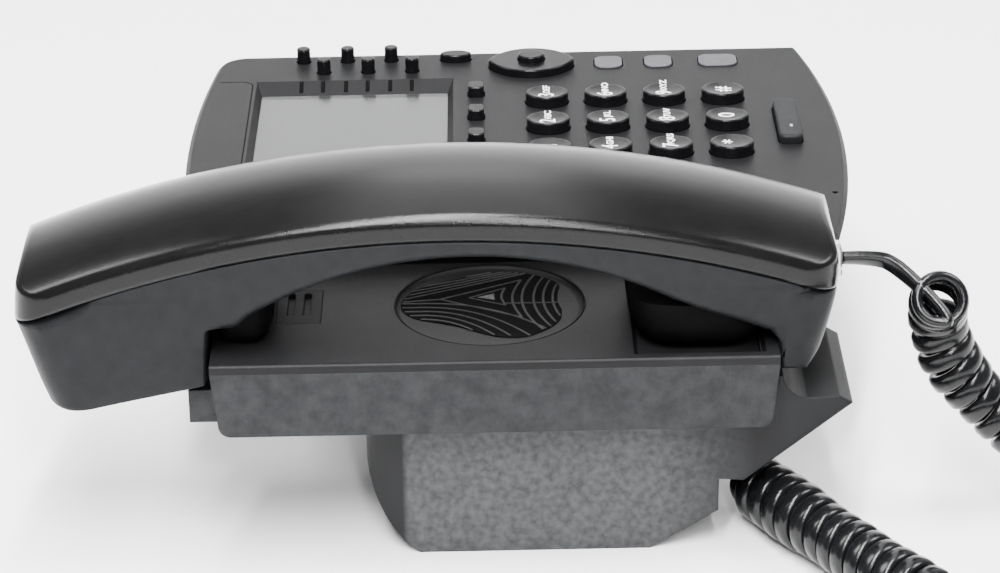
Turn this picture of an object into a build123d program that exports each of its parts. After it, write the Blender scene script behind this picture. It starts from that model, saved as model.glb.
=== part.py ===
from build123d import *
import os
from math import pi, radians, tan

# A desk telephone with a corded handset, in millimetres.
# X runs from the handset side to the outer side, Y towards the display end, Z up.
# The origin lies on the desk, on the flat foot of the stand.

# ---- heights of the case
face_z = 62.3  # top of the keypad face
cradle_z = 56.4  # floor under the handset
seam_z = 54.1  # joint between the two halves of the case
slab_z = 37.3  # underside of the case, where the stand begins
wall = 2.4

# ---- plan of the case
case_left = -94.2
case_right = 96.5
cradle_edge_x = -37.2  # step between the cradle and the keypad face
display_end_y = 78.8
display_end_peak_y = 84.2
user_end_y = -87.0
user_end_peak_y = -94.3
block_rear_y = 70.4  # the block under the handset
block_front_y = -67.1
block_draft = 1.8  # how much shorter the block is at its foot
case_corner_r = 9.0
user_corner_r = 4.0
end_lean = 20.0  # degrees that both bowed ends lean inwards, going down
rim_chamfer = 1.6
foot_r = 3.0
cradle_rim_r = 0.9
ledge_x = (-85.6, -41.0)
ledge_y = 76.5  # low ledge under the overhanging ear end of the handset
ledge_z = 46.0

# ---- display
lcd_x = 34.8
lcd_y = 39.85
lcd_view_x = 70.0
lcd_view_y = 52.5
lcd_border = 3.0
lcd_thickness = 4.0
bezel_depth = 2.0
bezel_slope = 1.6
bezel_far_slope = 6.4
window_thickness = 1.4
window_lip = 1.5
fit_gap = 0.1

# ---- keys
key_gap = 0.25  # clearance between a key and its hole
key_flange = 0.9  # how far the flange under the face stands out
key_travel = 1.2
key_edge_r = 0.5
key_dish_r = 26.0
key_dish_depth = 0.45
dial_x = 37.7
dial_y = -38.55
dial_pitch_x = 19.0
dial_pitch_y = 16.3
dial_key = (9.9, 11.8, 3.2)  # size in X, size in Y, rise above the face
line_key = (3.8, 3.8, 4.2)
line_near_x = 82.4
line_far_x = 91.1
line_far_y = (55.0, 42.4, 29.9)
line_stagger_y = -6.1
soft_key = (5.0, 4.4, 3.0)
soft_key_x = 38.2
soft_key_y = 5.6
soft_key_pitch = 17.0
home_place = (90.3, 11.4)
home_key = (4.8, 8.8, 2.2)
pad_place = (84.0, -10.2)
pad_size = (18.0, 24.4, 2.3)
pad_tip_r = 1.4
select_key = (6.8, 7.6, 4.0)
flush_x = 85.5
flush_width = 8.6
flush_rise = 0.5
flush_keys = (("headset_key", -32.2, 7.8), ("speaker_key", -46.4, 7.8), ("mute_key", -63.4, 10.9))
rocker_place = (36.5, -79.4)
rocker_size = (27.0, 6.4, 2.6)
rocker_pin_r = 0.9
rocker_pin_z = 58.7

# ---- boards and other pieces inside the case
membrane_thickness = 1.0
board_thickness = 1.6
main_board_z = 43.0
main_board_trim = 4.0  # the main board is shorter, because the ends of the case lean in
board_margin = 5.0
side_margin = 3.2
post_clear_x = 12.0
post_clear_y = 17.5
processor_place = (20.0, -30.0)
processor_side = 22.0
memory_places = ((48.0, -24.0), (48.0, -40.0))
memory_size = (14.0, 9.0)
capacitor_r = 3.5
capacitor_pitch = 14.0
part_height = 3.0
post_r = 3.6
screw_r = 1.5
screw_head_r = 3.0
screw_head_height = 2.0
screw_depth = 2.0  # how far a screw reaches above the seam
cord_slot_spare = 6  # how much longer the cord slot is than the corner it follows
cord_slot_height = 14.6
board_spare = 0.5  # how far the board reaches past the screw posts
dish_place = (-61.4, 2.6)  # loudspeaker dish in the cradle floor
dish_r = 23.6
dish_depth = 1.3
dish_taper = 25
slot_width = 1.25
slot_margin = 1.8
speaker_r = 21.5
speaker_height = 12.0
speaker_gap = 0.5
magnet_r = 12.9
speaker_rim = 2.0
cone_depth = 1.5
microphone_hole = (-10.2, -88.0)
tab_x = (-71.0, -52.0)  # hook tab for hanging the telephone on a wall
tab_y = (44.4, 55.6)
plunger_place = (-65.2, 62.2)
plunger_size = (6.0, 4.0)
plunger_low_z = 47.0

# ---- handset: its crown and its seam are arcs about one axis
hs_x = -65.2
hs_width = 48.0
hs_axis_y = 12.5
hs_axis_z = -190.0
crown_r = 287.0
shoulder_r = 281.5
seam_r = 275.8
section_low_r = 180.0  # well below the handset
shoulder_fillet = 3.4
hs_wall = 2.2
hs_corner_r = 8.0
hs_ear_y = 117.2
hs_mouth_y = -82.3
boss_width = 30.0
ear_boss_y = (56.8, 70.3)
mouth_boss_y = (-61.5, -36.0)
boss_gap = 0.3  # between a boss of the handset and the floor under it
receiver_y = 91.0
microphone_y = -56.0
hole_r = 0.9
well_x = (-91.6, -40.0)
well_y = (-64.0, -32.0)
well_depth = 3.0

# ---- stand
stand_half_x = 86.2
stand_wall = 2.5
stand_rear_y = 34.0
stand_corner_r = 12.0
foot_rear_y = 21.0
foot_front_y = -36.0
slope_foot = (-52.9, 10.3)  # upper end of the short slope, before the cord slot
slot_top = (-53.1, 19.0)
long_slope = (-59.2, 18.6)
stand_front_y = -82.9
lip_right_x = -47.0
pad_thickness = 1.2
foot_pad_places = ((-55.0, -8.0), (55.0, -8.0))
foot_pad = (44.0, 14.0)
slope_pad_places = ((-66.0, 13.0), (66.0, 13.0))
slope_pad = (36.0, 8.0)

# ---- jacks and cord
plug_width = 7.65
plug_height = 6.6
plug_length = 12.0
plug_z = 68.7
plug_out_y = -84.0  # outer end of the plug in the handset
base_jack_y = (-34.0, -18.0)
base_plug_x = -68.0
base_plug_out_y = -39.0
base_plug_z = 30.0
network_jack_x = (30.0, 48.0)
network_jack_y = 4.0
network_jack_side = 16.0
network_jack_length = 18.0
network_socket = (11.8, 24.0, 8.4)
wire_d = 4.5
coil_d = 16.0

# The thin lead from the plug in the base down to the coil.
base_lead_route = (
    (-68.0, -39.0, 30.0),
    (-68.0, -47.0, 30.0),
    (-68.0, -54.5, 24.5),
    (-68.4, -57.5, 16.0),
    (-69.5, -62.0, 9.8),
)
# The curly part: from the cord slot along the desk, round, and up to the handset.
coil_route = (
    (-67.5, -61.0, 9.4),
    (-85.0, -72.0, 8.3),
    (-105.0, -84.5, 8.3),
    (-128.0, -98.0, 8.3),
    (-148.0, -116.0, 8.3),
    (-156.0, -140.0, 8.3),
    (-148.0, -164.0, 8.3),
    (-127.0, -177.0, 8.3),
    (-103.0, -176.0, 8.3),
    (-84.0, -163.0, 8.3),
    (-72.0, -146.0, 10.0),
    (-67.0, -132.5, 17.5),
    (-65.5, -121.0, 28.0),
    (-65.0, -112.0, 39.5),
    (-65.5, -108.4, 50.0),
    (-69.5, -107.6, 58.5),
)
# The thin lead from the top of the coil to the plug in the handset.
handset_lead_route = (
    (-65.2, -84.3, 68.7),
    (-65.2, -91.0, 68.7),
    (-65.2, -97.5, 67.2),
    (-67.0, -105.5, 59.0),
)

os.makedirs("parts", exist_ok=True)

flange_top_z = face_z - wall - fit_gap
flange_low_z = flange_top_z - key_flange
membrane_top_z = flange_low_z - key_travel - fit_gap
keypad_board_z = membrane_top_z - membrane_thickness - board_thickness
window_top_z = face_z - bezel_depth
lcd_left = lcd_x - lcd_view_x / 2
lcd_right = lcd_x + lcd_view_x / 2
lcd_low = lcd_y - lcd_view_y / 2
lcd_high = lcd_y + lcd_view_y / 2
well_floor_z = cradle_z - well_depth
wide_middle_x = (cradle_edge_x + case_right) / 2
half_chord = (case_right - cradle_edge_x) / 2


def bow_radius(bow):
    """Radius of an arc over the width of the wide part of the case that rises by bow."""
    return (half_chord**2 + bow**2) / (2 * bow)


def save(part, name):
    """Label one finished piece and write it as its own STEP file."""
    part.label = name
    export_step(part, f"parts/{name}.step")


def draw_rectangle(x_low, x_high, y_low, y_high):
    """Rectangle between two corners, in the current sketch."""
    with Locations(((x_low + x_high) / 2, (y_low + y_high) / 2)):
        Rectangle(x_high - x_low, y_high - y_low)


def draw_wide_outline():
    """Plan of the case beside the cradle: two straight sides and two bowed ends."""
    with BuildLine() as outline:
        ThreePointArc(
            (cradle_edge_x, display_end_y),
            (wide_middle_x, display_end_peak_y),
            (case_right, display_end_y),
        )
        Line((case_right, display_end_y), (case_right, user_end_y))
        ThreePointArc(
            (case_right, user_end_y),
            (wide_middle_x, user_end_peak_y),
            (cradle_edge_x, user_end_y),
        )
        Line((cradle_edge_x, user_end_y), (cradle_edge_x, display_end_y))
    make_face(outline.edges())
    outer_corners = vertices().group_by(Axis.X)[-1].sort_by(Axis.Y)
    fillet(outer_corners[-1], case_corner_r)
    fillet(outer_corners[0], user_corner_r)


def make_wide_body(low_z, high_z, inset, rim):
    """The case beside the cradle between two heights, or its hollow when inset."""
    lean = tan(radians(end_lean))
    bows = (
        (user_end_peak_y, bow_radius(user_end_y - user_end_peak_y)),
        (display_end_peak_y, -bow_radius(display_end_peak_y - display_end_y)),
    )
    with BuildPart() as body:
        with BuildSketch(Plane.XY.offset(low_z)):
            draw_wide_outline()
            if inset > 0:
                offset(amount=-inset, mode=Mode.REPLACE)
        extrude(amount=high_z - low_z)
        if rim > 0:
            chamfer(faces().sort_by(Axis.Z)[-1].edges(), rim)
        for peak_y, bow_r in bows:
            low_r = abs(bow_r) - inset - (face_z - low_z) * lean
            high_r = abs(bow_r) - inset - (face_z - high_z) * lean
            with Locations((wide_middle_x, peak_y + bow_r, (low_z + high_z) / 2)):
                Cone(low_r, high_r, high_z - low_z, mode=Mode.INTERSECT)
    return body.part


# ------------------------------------------------------------------ keys
def draw_key(shape, size_x, size_y, grow):
    """Plan of one key about its own centre, grown on every side."""
    if shape == "oval":
        Ellipse(size_x / 2 + grow, size_y / 2 + grow)
    elif shape == "lens":
        with BuildLine() as outline:
            ThreePointArc((0, -size_y / 2), (size_x / 2, 0), (0, size_y / 2))
            ThreePointArc((0, size_y / 2), (-size_x / 2, 0), (0, -size_y / 2))
        make_face(outline.edges())
        fillet(vertices(), pad_tip_r)
        if grow > 0:
            offset(amount=grow, mode=Mode.REPLACE)
    else:
        corner = min(size_x, size_y) * 0.3 + grow
        RectangleRounded(size_x + 2 * grow, size_y + 2 * grow, corner)


def make_key(name, shape, x, y, size_x, size_y, rise):
    """A cap that stands out of the face, with a flange under the face that holds it in."""
    top_z = face_z + rise
    with BuildPart() as key:
        with BuildSketch(Plane((x, y, flange_top_z))):
            draw_key(shape, size_x, size_y, 0)
        extrude(amount=top_z - flange_top_z)
        fillet(faces().sort_by(Axis.Z)[-1].edges(), min(key_edge_r, rise * 0.4))
        if name.startswith("dial"):
            with Locations((x, y, top_z + key_dish_r - key_dish_depth)):
                Sphere(key_dish_r, mode=Mode.SUBTRACT)
        with BuildSketch(Plane((x, y, flange_low_z))):
            draw_key(shape, size_x, size_y, key_flange)
        extrude(amount=key_flange)
    return key.part


# Every key: name, plan shape, place, size in X and Y, rise above the face.
digit_names = (("1", "2", "3"), ("4", "5", "6"), ("7", "8", "9"), ("star", "0", "hash"))
keys = []
for row, names in enumerate(digit_names):
    for column, digit in enumerate(names):
        key_x = dial_x + (column - 1) * dial_pitch_x
        key_y = dial_y + (1.5 - row) * dial_pitch_y
        keys.append((f"dial_key_{digit}", "oval", key_x, key_y, *dial_key))
for index, far_y in enumerate(line_far_y):
    for side, mirror in (("right", 1), ("left", -1)):
        far_x = lcd_x + mirror * (line_far_x - lcd_x)
        near_x = lcd_x + mirror * (line_near_x - lcd_x)
        near_y = far_y + line_stagger_y
        keys.append((f"line_key_{side}_{2 * index + 1}", "oval", far_x, far_y, *line_key))
        keys.append((f"line_key_{side}_{2 * index + 2}", "oval", near_x, near_y, *line_key))
for index in range(4):
    key_x = soft_key_x + (index - 1.5) * soft_key_pitch
    keys.append((f"soft_key_{index + 1}", "rounded", key_x, soft_key_y, *soft_key))
keys.append(("home_key", "oval", *home_place, *home_key))
keys.append(("select_key", "oval", *pad_place, *select_key))
for name, key_y, length in flush_keys:
    keys.append((name, "rounded", flush_x, key_y, flush_width, length, flush_rise))

for key in keys:
    save(make_key(*key), key[0])

# The navigation pad has a hole for the select key, relieved below so that both can travel.
pad_blank = make_key("navigation_pad", "lens", *pad_place, *pad_size)
with BuildPart() as navigation_pad:
    add(pad_blank)
    with BuildSketch(Plane((*pad_place, flange_low_z))):
        draw_key("oval", select_key[0], select_key[1], key_flange + key_gap)
    extrude(amount=key_flange + key_travel + key_gap, mode=Mode.SUBTRACT)
    with BuildSketch(Plane((*pad_place, flange_low_z))):
        draw_key("oval", select_key[0], select_key[1], key_gap)
    extrude(amount=face_z + pad_size[2] - flange_low_z, mode=Mode.SUBTRACT)
save(navigation_pad.part, "navigation_pad")

# The volume rocker turns on a pin along Y, held under the face.
with BuildPart() as volume_rocker:
    with BuildSketch(Plane((*rocker_place, rocker_pin_z - rocker_pin_r / 2))):
        draw_key("rounded", rocker_size[0], rocker_size[1], 0)
    extrude(amount=face_z + rocker_size[2] - rocker_pin_z + rocker_pin_r / 2)
    fillet(faces().sort_by(Axis.Z)[-1].edges(), key_edge_r * 2)
    with Locations((*rocker_place, rocker_pin_z)):
        Cylinder(rocker_pin_r, rocker_size[1] + 3.2, rotation=(90, 0, 0))
save(volume_rocker.part, "volume_rocker")

holes = keys + [
    ("navigation_pad", "lens", *pad_place, *pad_size),
    ("volume_rocker", "rounded", *rocker_place, *rocker_size),
]

# ------------------------------------------------------------------ upper half of the case
posts = ((89.0, 66.0), (89.0, -74.2), (-30.0, 66.0), (-30.0, -74.2), (-88.5, 64.0), (-88.5, 30.0))

top_body = make_wide_body(seam_z, face_z, 0, rim_chamfer)
top_hollow = make_wide_body(seam_z, face_z - wall, wall, 0)
low_body = make_wide_body(slab_z, seam_z, 0, 0)
low_hollow = make_wide_body(slab_z + wall, seam_z, wall, 0)

with BuildPart() as top_case:
    add(top_body)
    add(top_hollow, mode=Mode.SUBTRACT)
    # Posts that take the screws, up to the underside of the face.
    with BuildSketch(Plane.XY.offset(seam_z)):
        with Locations(*posts[:4]):
            Circle(post_r)
    extrude(amount=face_z - wall - seam_z)
    # The plate under the handset, with the well for the mouthpiece hanging below it.
    with BuildSketch(Plane.XY.offset(seam_z)):
        draw_rectangle(case_left, cradle_edge_x + wall / 2, block_front_y, block_rear_y)
    extrude(amount=cradle_z - seam_z)
    fillet(edges().filter_by(Axis.Y).group_by(Axis.X)[0].sort_by(Axis.Z)[-1], cradle_rim_r)
    with BuildSketch(Plane.XY.offset(well_floor_z - wall)):
        draw_rectangle(well_x[0] + 1.5, well_x[1], well_y[0] + 1.3, well_y[1] + 1.5)
    extrude(amount=seam_z - well_floor_z + wall)
    with BuildSketch(Plane.XY.offset(cradle_z)):
        draw_rectangle(*well_x, *well_y)
    extrude(amount=-well_depth, taper=20, mode=Mode.SUBTRACT)
    # The round dish of the loudspeaker and its slots.
    with BuildSketch(Plane((*dish_place, cradle_z))):
        Circle(dish_r)
    extrude(amount=-dish_depth, taper=dish_taper, mode=Mode.SUBTRACT)
    with BuildSketch(Plane((*dish_place, seam_z))):
        for step in range(7):
            with Locations((5.0 + 2.3 * step, 8.0 - 0.9 * step)):
                SlotOverall(23.0 - 1.5 * step, slot_width, rotation=126)
            with Locations((-2.5 - 2.3 * step, 8.0 - 1.2 * step)):
                SlotOverall(23.0 - 1.5 * step, slot_width, rotation=62)
        for step in range(6):
            SlotArc(CenterArc((0, 3), 9.5 + 2.3 * step, 232, 76), slot_width)
        Circle(dish_r - slot_margin, mode=Mode.INTERSECT)
    extrude(amount=cradle_z - seam_z, mode=Mode.SUBTRACT)
    # Display opening: a sloped bezel that ends at the window.
    with BuildSketch(Plane.XY.offset(window_top_z)):
        draw_rectangle(lcd_left, lcd_right, lcd_low, lcd_high)
    with BuildSketch(Plane.XY.offset(face_z)):
        draw_rectangle(
            lcd_left - bezel_slope,
            lcd_right + bezel_far_slope,
            lcd_low - bezel_slope,
            lcd_high + bezel_slope,
        )
    loft(mode=Mode.SUBTRACT)
    with BuildSketch(Plane.XY.offset(seam_z)):
        draw_rectangle(lcd_left, lcd_right, lcd_low, lcd_high)
    extrude(amount=window_top_z - seam_z, mode=Mode.SUBTRACT)
    for name, shape, x, y, size_x, size_y, rise in holes:
        with BuildSketch(Plane((x, y, flange_top_z))):
            draw_key(shape, size_x, size_y, key_gap)
        extrude(amount=face_z - flange_top_z, mode=Mode.SUBTRACT)
    # Small openings: microphone, hook tab, hookswitch and screws.
    with BuildSketch(Plane.XY.offset(seam_z)):
        with Locations(microphone_hole):
            Circle(0.8)
        draw_rectangle(tab_x[0] - fit_gap, tab_x[1] + fit_gap, tab_y[0] - fit_gap, tab_y[1] + fit_gap)
        with Locations(plunger_place):
            Rectangle(plunger_size[0] + 2 * key_gap, plunger_size[1] + 2 * key_gap)
    extrude(amount=face_z - seam_z, mode=Mode.SUBTRACT)
    with BuildSketch(Plane.XY.offset(seam_z)):
        with Locations(*posts):
            Circle(screw_r)
    extrude(amount=screw_depth, mode=Mode.SUBTRACT)
save(top_case.part, "top_case")

# ------------------------------------------------------------------ lower half of the case
def draw_block_side():
    """Side view of the block under the handset: Y across, Z up, ends leaning inwards."""
    with BuildLine() as outline:
        Polyline(
            (block_rear_y, seam_z),
            (block_rear_y - block_draft, slab_z),
            (block_front_y + block_draft, slab_z),
            (block_front_y, seam_z),
            close=True,
        )
    make_face(outline.edges())
    low_corners = [corner for corner in vertices() if corner.Y < (slab_z + seam_z) / 2]
    fillet(low_corners, foot_r)


with BuildPart() as bottom_case:
    add(low_body)
    with BuildSketch(Plane.YZ.offset(case_left)):
        draw_block_side()
    extrude(amount=cradle_edge_x - case_left + wall)
    with BuildSketch(Plane.XY.offset(slab_z)):
        draw_rectangle(*ledge_x, block_rear_y - wall - foot_r, ledge_y)
    extrude(amount=ledge_z - slab_z)
    # The hollow inside, one for each part of the plan.
    add(low_hollow, mode=Mode.SUBTRACT)
    with BuildSketch(Plane.XY.offset(slab_z + wall)):
        draw_rectangle(
            case_left + wall,
            cradle_edge_x + 2 * wall,
            block_front_y + block_draft + wall,
            block_rear_y - block_draft - wall,
        )
    extrude(amount=seam_z - slab_z - wall, mode=Mode.SUBTRACT)
    # Posts and recesses for the screws.
    with BuildSketch(Plane.XY.offset(slab_z)):
        with Locations(*posts):
            Circle(post_r)
    extrude(amount=seam_z - slab_z)
    with BuildSketch(Plane.XY.offset(slab_z)):
        with Locations(*posts):
            Circle(screw_r + fit_gap)
    extrude(amount=seam_z - slab_z, mode=Mode.SUBTRACT)
    with BuildSketch(Plane.XY.offset(slab_z)):
        with Locations(*posts):
            Circle(screw_head_r + fit_gap)
    extrude(amount=screw_head_height + 0.4, mode=Mode.SUBTRACT)
save(bottom_case.part, "bottom_case")

with BuildPart() as case_screws:
    with BuildSketch(Plane.XY.offset(slab_z + 0.4)):
        with Locations(*posts):
            Circle(screw_head_r)
    extrude(amount=screw_head_height)
    with BuildSketch(Plane.XY.offset(slab_z + 0.4)):
        with Locations(*posts):
            Circle(screw_r)
    extrude(amount=seam_z + screw_depth - slab_z - 0.4)
    with BuildSketch(Plane.XY.offset(slab_z + 0.4)):
        with Locations(*posts):
            RegularPolygon(screw_r, 6)
    extrude(amount=screw_head_height / 2, mode=Mode.SUBTRACT)
save(case_screws.part, "case_screws")

# ------------------------------------------------------------------ display and boards
with BuildPart() as display_window:
    with BuildSketch(Plane.XY.offset(window_top_z - window_thickness)):
        draw_rectangle(
            lcd_left - window_lip, lcd_right + window_lip, lcd_low - window_lip, lcd_high + window_lip
        )
    extrude(amount=flange_top_z - window_top_z + window_thickness)
    with BuildSketch(Plane.XY.offset(window_top_z - window_thickness)):
        draw_rectangle(lcd_left + fit_gap, lcd_right - fit_gap, lcd_low + fit_gap, lcd_high - fit_gap)
    extrude(amount=window_thickness)
save(display_window.part, "display_window")

lcd_top_z = window_top_z - window_thickness - fit_gap
with BuildPart() as lcd_panel:
    with BuildSketch(Plane.XY.offset(lcd_top_z - lcd_thickness)):
        draw_rectangle(
            lcd_left - lcd_border, lcd_right + lcd_border, lcd_low - lcd_border, lcd_high + lcd_border
        )
    extrude(amount=lcd_thickness)
save(lcd_panel.part, "lcd_panel")


def draw_board_plan(trim):
    """Plan of the boards beside the cradle, clear of the screw posts."""
    board_user_y = user_end_y + board_margin + trim
    board_display_y = display_end_y - board_margin - trim
    draw_rectangle(
        cradle_edge_x + post_clear_x, case_right - post_clear_x + board_spare, board_user_y, board_display_y
    )
    draw_rectangle(
        cradle_edge_x + side_margin,
        case_right - side_margin,
        user_end_y + post_clear_y,
        display_end_y - post_clear_y,
    )


with BuildPart() as keypad_board:
    with BuildSketch(Plane.XY.offset(keypad_board_z)):
        draw_board_plan(0)
        with Locations((lcd_x, lcd_y)):
            Rectangle(
                lcd_view_x + 2 * lcd_border + 2, lcd_view_y + 2 * lcd_border + 0.8, mode=Mode.SUBTRACT
            )
    extrude(amount=board_thickness)
save(keypad_board.part, "keypad_board")

with BuildPart() as key_membrane:
    with BuildSketch(Plane.XY.offset(membrane_top_z - membrane_thickness)):
        draw_board_plan(0)
        with Locations((lcd_x, lcd_y)):
            Rectangle(
                lcd_view_x + 2 * lcd_border + 2, lcd_view_y + 2 * lcd_border + 0.8, mode=Mode.SUBTRACT
            )
    extrude(amount=membrane_thickness)
save(key_membrane.part, "key_membrane")

with BuildPart() as main_board:
    with BuildSketch(Plane.XY.offset(main_board_z)):
        draw_board_plan(main_board_trim)
    extrude(amount=board_thickness)
    # Processor, memory and power parts on top of the board.
    with BuildSketch(Plane.XY.offset(main_board_z + board_thickness)):
        with Locations(processor_place):
            Rectangle(processor_side, processor_side)
        with Locations(*memory_places):
            Rectangle(*memory_size)
        with GridLocations(capacitor_pitch, 0, 4, 1):
            Circle(capacitor_r)
    extrude(amount=part_height)
save(main_board.part, "main_board")

with BuildPart() as speaker_driver:
    with BuildSketch(Plane((*dish_place, seam_z - speaker_gap))):
        Circle(speaker_r)
    extrude(amount=-speaker_height / 3)
    with BuildSketch(Plane((*dish_place, seam_z - speaker_gap))):
        Circle(magnet_r)
    extrude(amount=-speaker_height)
    with BuildSketch(Plane((*dish_place, seam_z - speaker_gap))):
        Circle(speaker_r - speaker_rim)
    extrude(amount=-cone_depth, taper=30, mode=Mode.SUBTRACT)
save(speaker_driver.part, "speaker_driver")

with BuildPart() as hook_tab:
    with BuildSketch(Plane.XY.offset(seam_z + 0.2)):
        draw_rectangle(*tab_x, *tab_y)
    extrude(amount=cradle_z - seam_z - 0.2)
    with BuildSketch(Plane.XY.offset(cradle_z)):
        for groove_y in (tab_y[0] + 3.6, tab_y[1] - 3.6):
            with Locations(((tab_x[0] + tab_x[1]) / 2 + 1.5, groove_y)):
                SlotOverall(13, 1.8)
    extrude(amount=-1.0, mode=Mode.SUBTRACT)
save(hook_tab.part, "hook_tab")

with BuildPart() as hookswitch_plunger:
    with BuildSketch(Plane((*plunger_place, plunger_low_z))):
        Rectangle(*plunger_size)
    extrude(amount=cradle_z - plunger_low_z)
    fillet(faces().sort_by(Axis.Z)[-1].edges(), 0.8)
    with BuildSketch(Plane((*plunger_place, plunger_low_z + 1))):
        Rectangle(plunger_size[0] + 4, plunger_size[1] + 2)
    extrude(amount=1.5)
save(hookswitch_plunger.part, "hookswitch_plunger")

# ------------------------------------------------------------------ handset
def draw_handset_side():
    """Side view of the handset below its crown: Y across, Z up."""
    with BuildLine() as outline:
        ear_block = Polyline(
            (-56.0, 62.9),
            (-66.0, 60.4),
            (-68.8, 58.6),
            (-69.2, 50.0),
            (-74.0, 50.0),
            (-82.0, 73.0),
            (-80.4, 81.5),
            (-74.0, 120.0),
            (110.0, 120.0),
            (117.2, 76.0),
            (116.4, 66.5),
            (105.6, 42.5),
            (101.5, 42.4),
            (71.3, 48.2),
            (70.9, 63.2),
            (62.8, 63.4),
        )
        ThreePointArc(ear_block @ 1, (9.0, 81.0), (-36.0, 70.6))
        Line((-36.0, 70.6), ear_block @ 0)
    make_face(outline.edges())


def draw_crown_section(inset):
    """Cross section of the handset about its axis: X across, radius up."""
    half = hs_width / 2 - inset
    with BuildLine() as outline:
        Polyline(
            (-half, shoulder_r - inset),
            (-half, section_low_r),
            (half, section_low_r),
            (half, shoulder_r - inset),
        )
        ThreePointArc((half, shoulder_r - inset), (0, crown_r - inset), (-half, shoulder_r - inset))
    make_face(outline.edges())
    if inset == 0:
        fillet(vertices().group_by(Axis.Y)[-1], shoulder_fillet)


def make_handset_envelope(inset):
    """The whole handset as one solid, or its hollow when inset."""
    low_x = hs_x - hs_width / 2 + inset
    with BuildPart() as envelope:
        with BuildSketch(Plane.YZ.offset(low_x)):
            draw_handset_side()
            if inset > 0:
                offset(amount=-inset, kind=Kind.INTERSECTION, mode=Mode.REPLACE)
        extrude(amount=hs_width - 2 * inset)
        with BuildSketch(Plane((hs_x, hs_axis_y, hs_axis_z), x_dir=(1, 0, 0), z_dir=(0, -1, 0))):
            draw_crown_section(inset)
        revolve(axis=Axis((hs_x, hs_axis_y, hs_axis_z), (1, 0, 0)), mode=Mode.INTERSECT)
        with BuildSketch(Plane.XY):
            with Locations((hs_x, (hs_ear_y + hs_mouth_y) / 2)):
                RectangleRounded(hs_width - 2 * inset, hs_ear_y - hs_mouth_y - 2 * inset, hs_corner_r)
        extrude(amount=120, mode=Mode.INTERSECT)
    return envelope.part


outer_envelope = make_handset_envelope(0)
inner_envelope = make_handset_envelope(hs_wall)
with BuildPart() as seam_cylinder:
    with Locations((hs_x, hs_axis_y, hs_axis_z)):
        Cylinder(seam_r, hs_width * 2, rotation=(0, 90, 0))

with BuildPart() as plug_hole:
    with Locations((hs_x, plug_out_y, plug_z)):
        Box(plug_width + 0.6, 2 * plug_length, plug_height + 0.6)

with BuildPart() as handset_upper_shell:
    add(outer_envelope)
    add(seam_cylinder.part, mode=Mode.SUBTRACT)
    add(inner_envelope, mode=Mode.SUBTRACT)
    add(plug_hole.part, mode=Mode.SUBTRACT)
save(handset_upper_shell.part, "handset_upper_shell")

with BuildPart() as handset_lower_shell:
    add(outer_envelope)
    # Rounded bosses that sit in the cradle under the earpiece and the mouthpiece.
    for boss_y, low_z, high_z in (
        (ear_boss_y, cradle_z + boss_gap, 65.0),
        (mouth_boss_y, well_floor_z + boss_gap, 64.0),
    ):
        with BuildSketch(Plane.XY.offset(high_z)):
            with Locations((hs_x, (boss_y[0] + boss_y[1]) / 2)):
                RectangleRounded(boss_width, boss_y[1] - boss_y[0], 5)
        extrude(amount=low_z - high_z, taper=12)
    add(seam_cylinder.part, mode=Mode.INTERSECT)
    add(inner_envelope, mode=Mode.SUBTRACT)
    add(plug_hole.part, mode=Mode.SUBTRACT)
    # Sound holes under the earpiece and one in front of the microphone.
    with BuildSketch(Plane.XY.offset(40)):
        with Locations((hs_x, receiver_y)):
            Circle(hole_r)
            with PolarLocations(4.0, 6):
                Circle(hole_r)
            with PolarLocations(8.0, 12):
                Circle(hole_r)
        with Locations((hs_x, microphone_y)):
            Rectangle(4, 1.4)
    extrude(amount=30, mode=Mode.SUBTRACT)
save(handset_lower_shell.part, "handset_lower_shell")

with BuildPart() as earpiece_receiver:
    with BuildSketch(Plane((hs_x, receiver_y, 49.5))):
        Circle(12)
    extrude(amount=4)
    with BuildSketch(Plane((hs_x, receiver_y, 49.5))):
        Circle(8)
    extrude(amount=7)
save(earpiece_receiver.part, "earpiece_receiver")

with BuildPart() as handset_microphone:
    with BuildSketch(Plane((hs_x, microphone_y, 67.5))):
        Circle(4.8)
    extrude(amount=4.5)
save(handset_microphone.part, "handset_microphone")


def make_plug(x, out_y, z, direction):
    """Modular plug with its latch; its cord leaves on the side that direction points to."""
    with BuildPart() as plug:
        with Locations((x, out_y - direction * plug_length / 2, z)):
            Box(plug_width, plug_length, plug_height)
        chamfer(edges().filter_by(Axis.Y), 0.5)
        with Locations((x, out_y - direction * 0.8, z - plug_height / 2 - 0.4)):
            Box(3.2, 1.6, 1.0)
    return plug.part


def make_jack(x, y_low, y_high, z, direction):
    """Jack block with a square socket on the side that direction points to."""
    mouth_y = y_low if direction < 0 else y_high
    with BuildPart() as jack:
        with Locations((x, (y_low + y_high) / 2, z)):
            Box(plug_width + 4, y_high - y_low, plug_height + 3)
        with Locations((x, mouth_y, z)):
            Box(plug_width + 0.2, 15, plug_height + 0.2, mode=Mode.SUBTRACT)
    return jack.part


save(make_plug(hs_x, plug_out_y, plug_z, -1), "handset_plug")
save(make_jack(hs_x, -76.0, -66.5, plug_z, -1), "handset_jack")
save(make_plug(base_plug_x, base_plug_out_y, base_plug_z, -1), "base_plug")
save(make_jack(base_plug_x, *base_jack_y, base_plug_z, -1), "base_handset_jack")

with BuildPart() as network_jacks:
    for jack_x in network_jack_x:
        with Locations((jack_x, network_jack_y, slab_z - network_jack_side / 2)):
            Box(network_jack_side, network_jack_length, network_jack_side)
        with Locations((jack_x, network_jack_y - network_jack_length / 2, slab_z - network_jack_side / 2)):
            Box(*network_socket, mode=Mode.SUBTRACT)
save(network_jacks.part, "network_jacks")


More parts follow.
